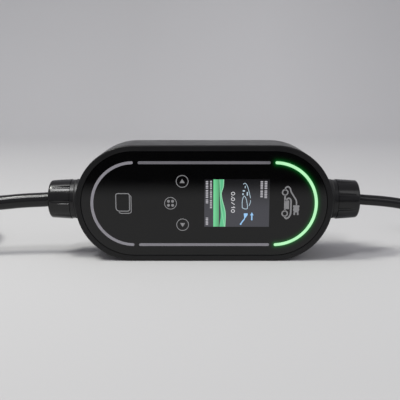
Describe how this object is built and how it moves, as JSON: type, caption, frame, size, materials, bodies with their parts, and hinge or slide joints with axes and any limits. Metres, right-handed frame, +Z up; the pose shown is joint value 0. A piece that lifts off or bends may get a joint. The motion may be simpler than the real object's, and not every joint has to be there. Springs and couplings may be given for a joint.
{
  "type": "portable electric vehicle charger",
  "caption": "Portable car charger: a stadium-shaped control box with a glossy face, light ring and display, cable glands at its ends, a hanked vehicle cable and a short mains lead with a plug.",
  "frame": {"origin": "middle of the control box's outline on the surface it stands on", "axes": "X along the control box, towards the mains lead; -Y out of the face; Z up"},
  "size_m": [0.9419, 0.1233, 0.103],
  "materials": {
    "case_plastic": "fine satin grain",
    "cover_plastic": "satin",
    "face_panel": "polished",
    "seal_rubber": "matt",
    "steel": "plain",
    "light_guide_unlit": "diffusing",
    "light_guide_lit": "diffusing, lit",
    "display": "polished",
    "circuit_board": "varnished",
    "led_package": "plain",
    "pad_foam": "conductive foam",
    "relay_case": "plain",
    "sensor_case": "plain",
    "supply_case": "plain",
    "terminal_plastic": "plain",
    "link_ribbon": "plain",
    "vehicle_core": "plain",
    "mains_core": "plain",
    "gland_plastic": "satin",
    "gland_rubber": "matt",
    "cable_jacket": "satin",
    "tie_fabric": "hook and loop",
    "connector_plastic": "satin",
    "insert_plastic": "plain",
    "plug_rubber": "matt",
    "contact_metal": "plated"
  },
  "bodies": {
    "root": {"rear_shell": "case_plastic", "front_cover": "cover_plastic", "front_panel": "face_panel", "housing_seal": "seal_rubber", "housing_screws": "steel", "left_light_arc": "light_guide_unlit", "right_light_arc": "light_guide_lit", "top_light_bar": "light_guide_unlit", "bottom_light_bar": "light_guide_unlit", "display_module": "display", "control_board": "circuit_board", "indicator_leds": "led_package", "touch_pads": "pad_foam", "card_antenna": "circuit_board", "control_board_screws": "steel", "power_board": "circuit_board", "power_board_screws": "steel", "power_relays": "relay_case", "current_sensor": "sensor_case", "power_supply": "supply_case", "terminal_blocks": "terminal_plastic", "board_link": "link_ribbon", "vehicle_leads": "vehicle_core", "mains_leads": "mains_core", "left_gland_body": "gland_plastic", "left_gland_gasket": "gland_rubber", "left_gland_bush": "gland_rubber", "left_gland_nut": "gland_plastic", "left_lock_nut": "gland_plastic", "right_gland_body": "gland_plastic", "right_gland_gasket": "gland_rubber", "right_gland_bush": "gland_rubber", "right_gland_nut": "gland_plastic", "right_lock_nut": "gland_plastic", "vehicle_cable": "cable_jacket", "vehicle_cable_hank": "cable_jacket", "vehicle_cable_tail": "cable_jacket", "hank_ties": "tie_fabric", "connector_handle": "connector_plastic", "connector_boot": "plug_rubber", "connector_nose": "connector_plastic", "connector_insert": "insert_plastic", "connector_contacts": "contact_metal", "mains_lead": "cable_jacket", "plug_body": "plug_rubber", "plug_boot": "plug_rubber", "plug_pins": "contact_metal", "plug_earth_clips": "contact_metal"}
  },
  "joints": []
}
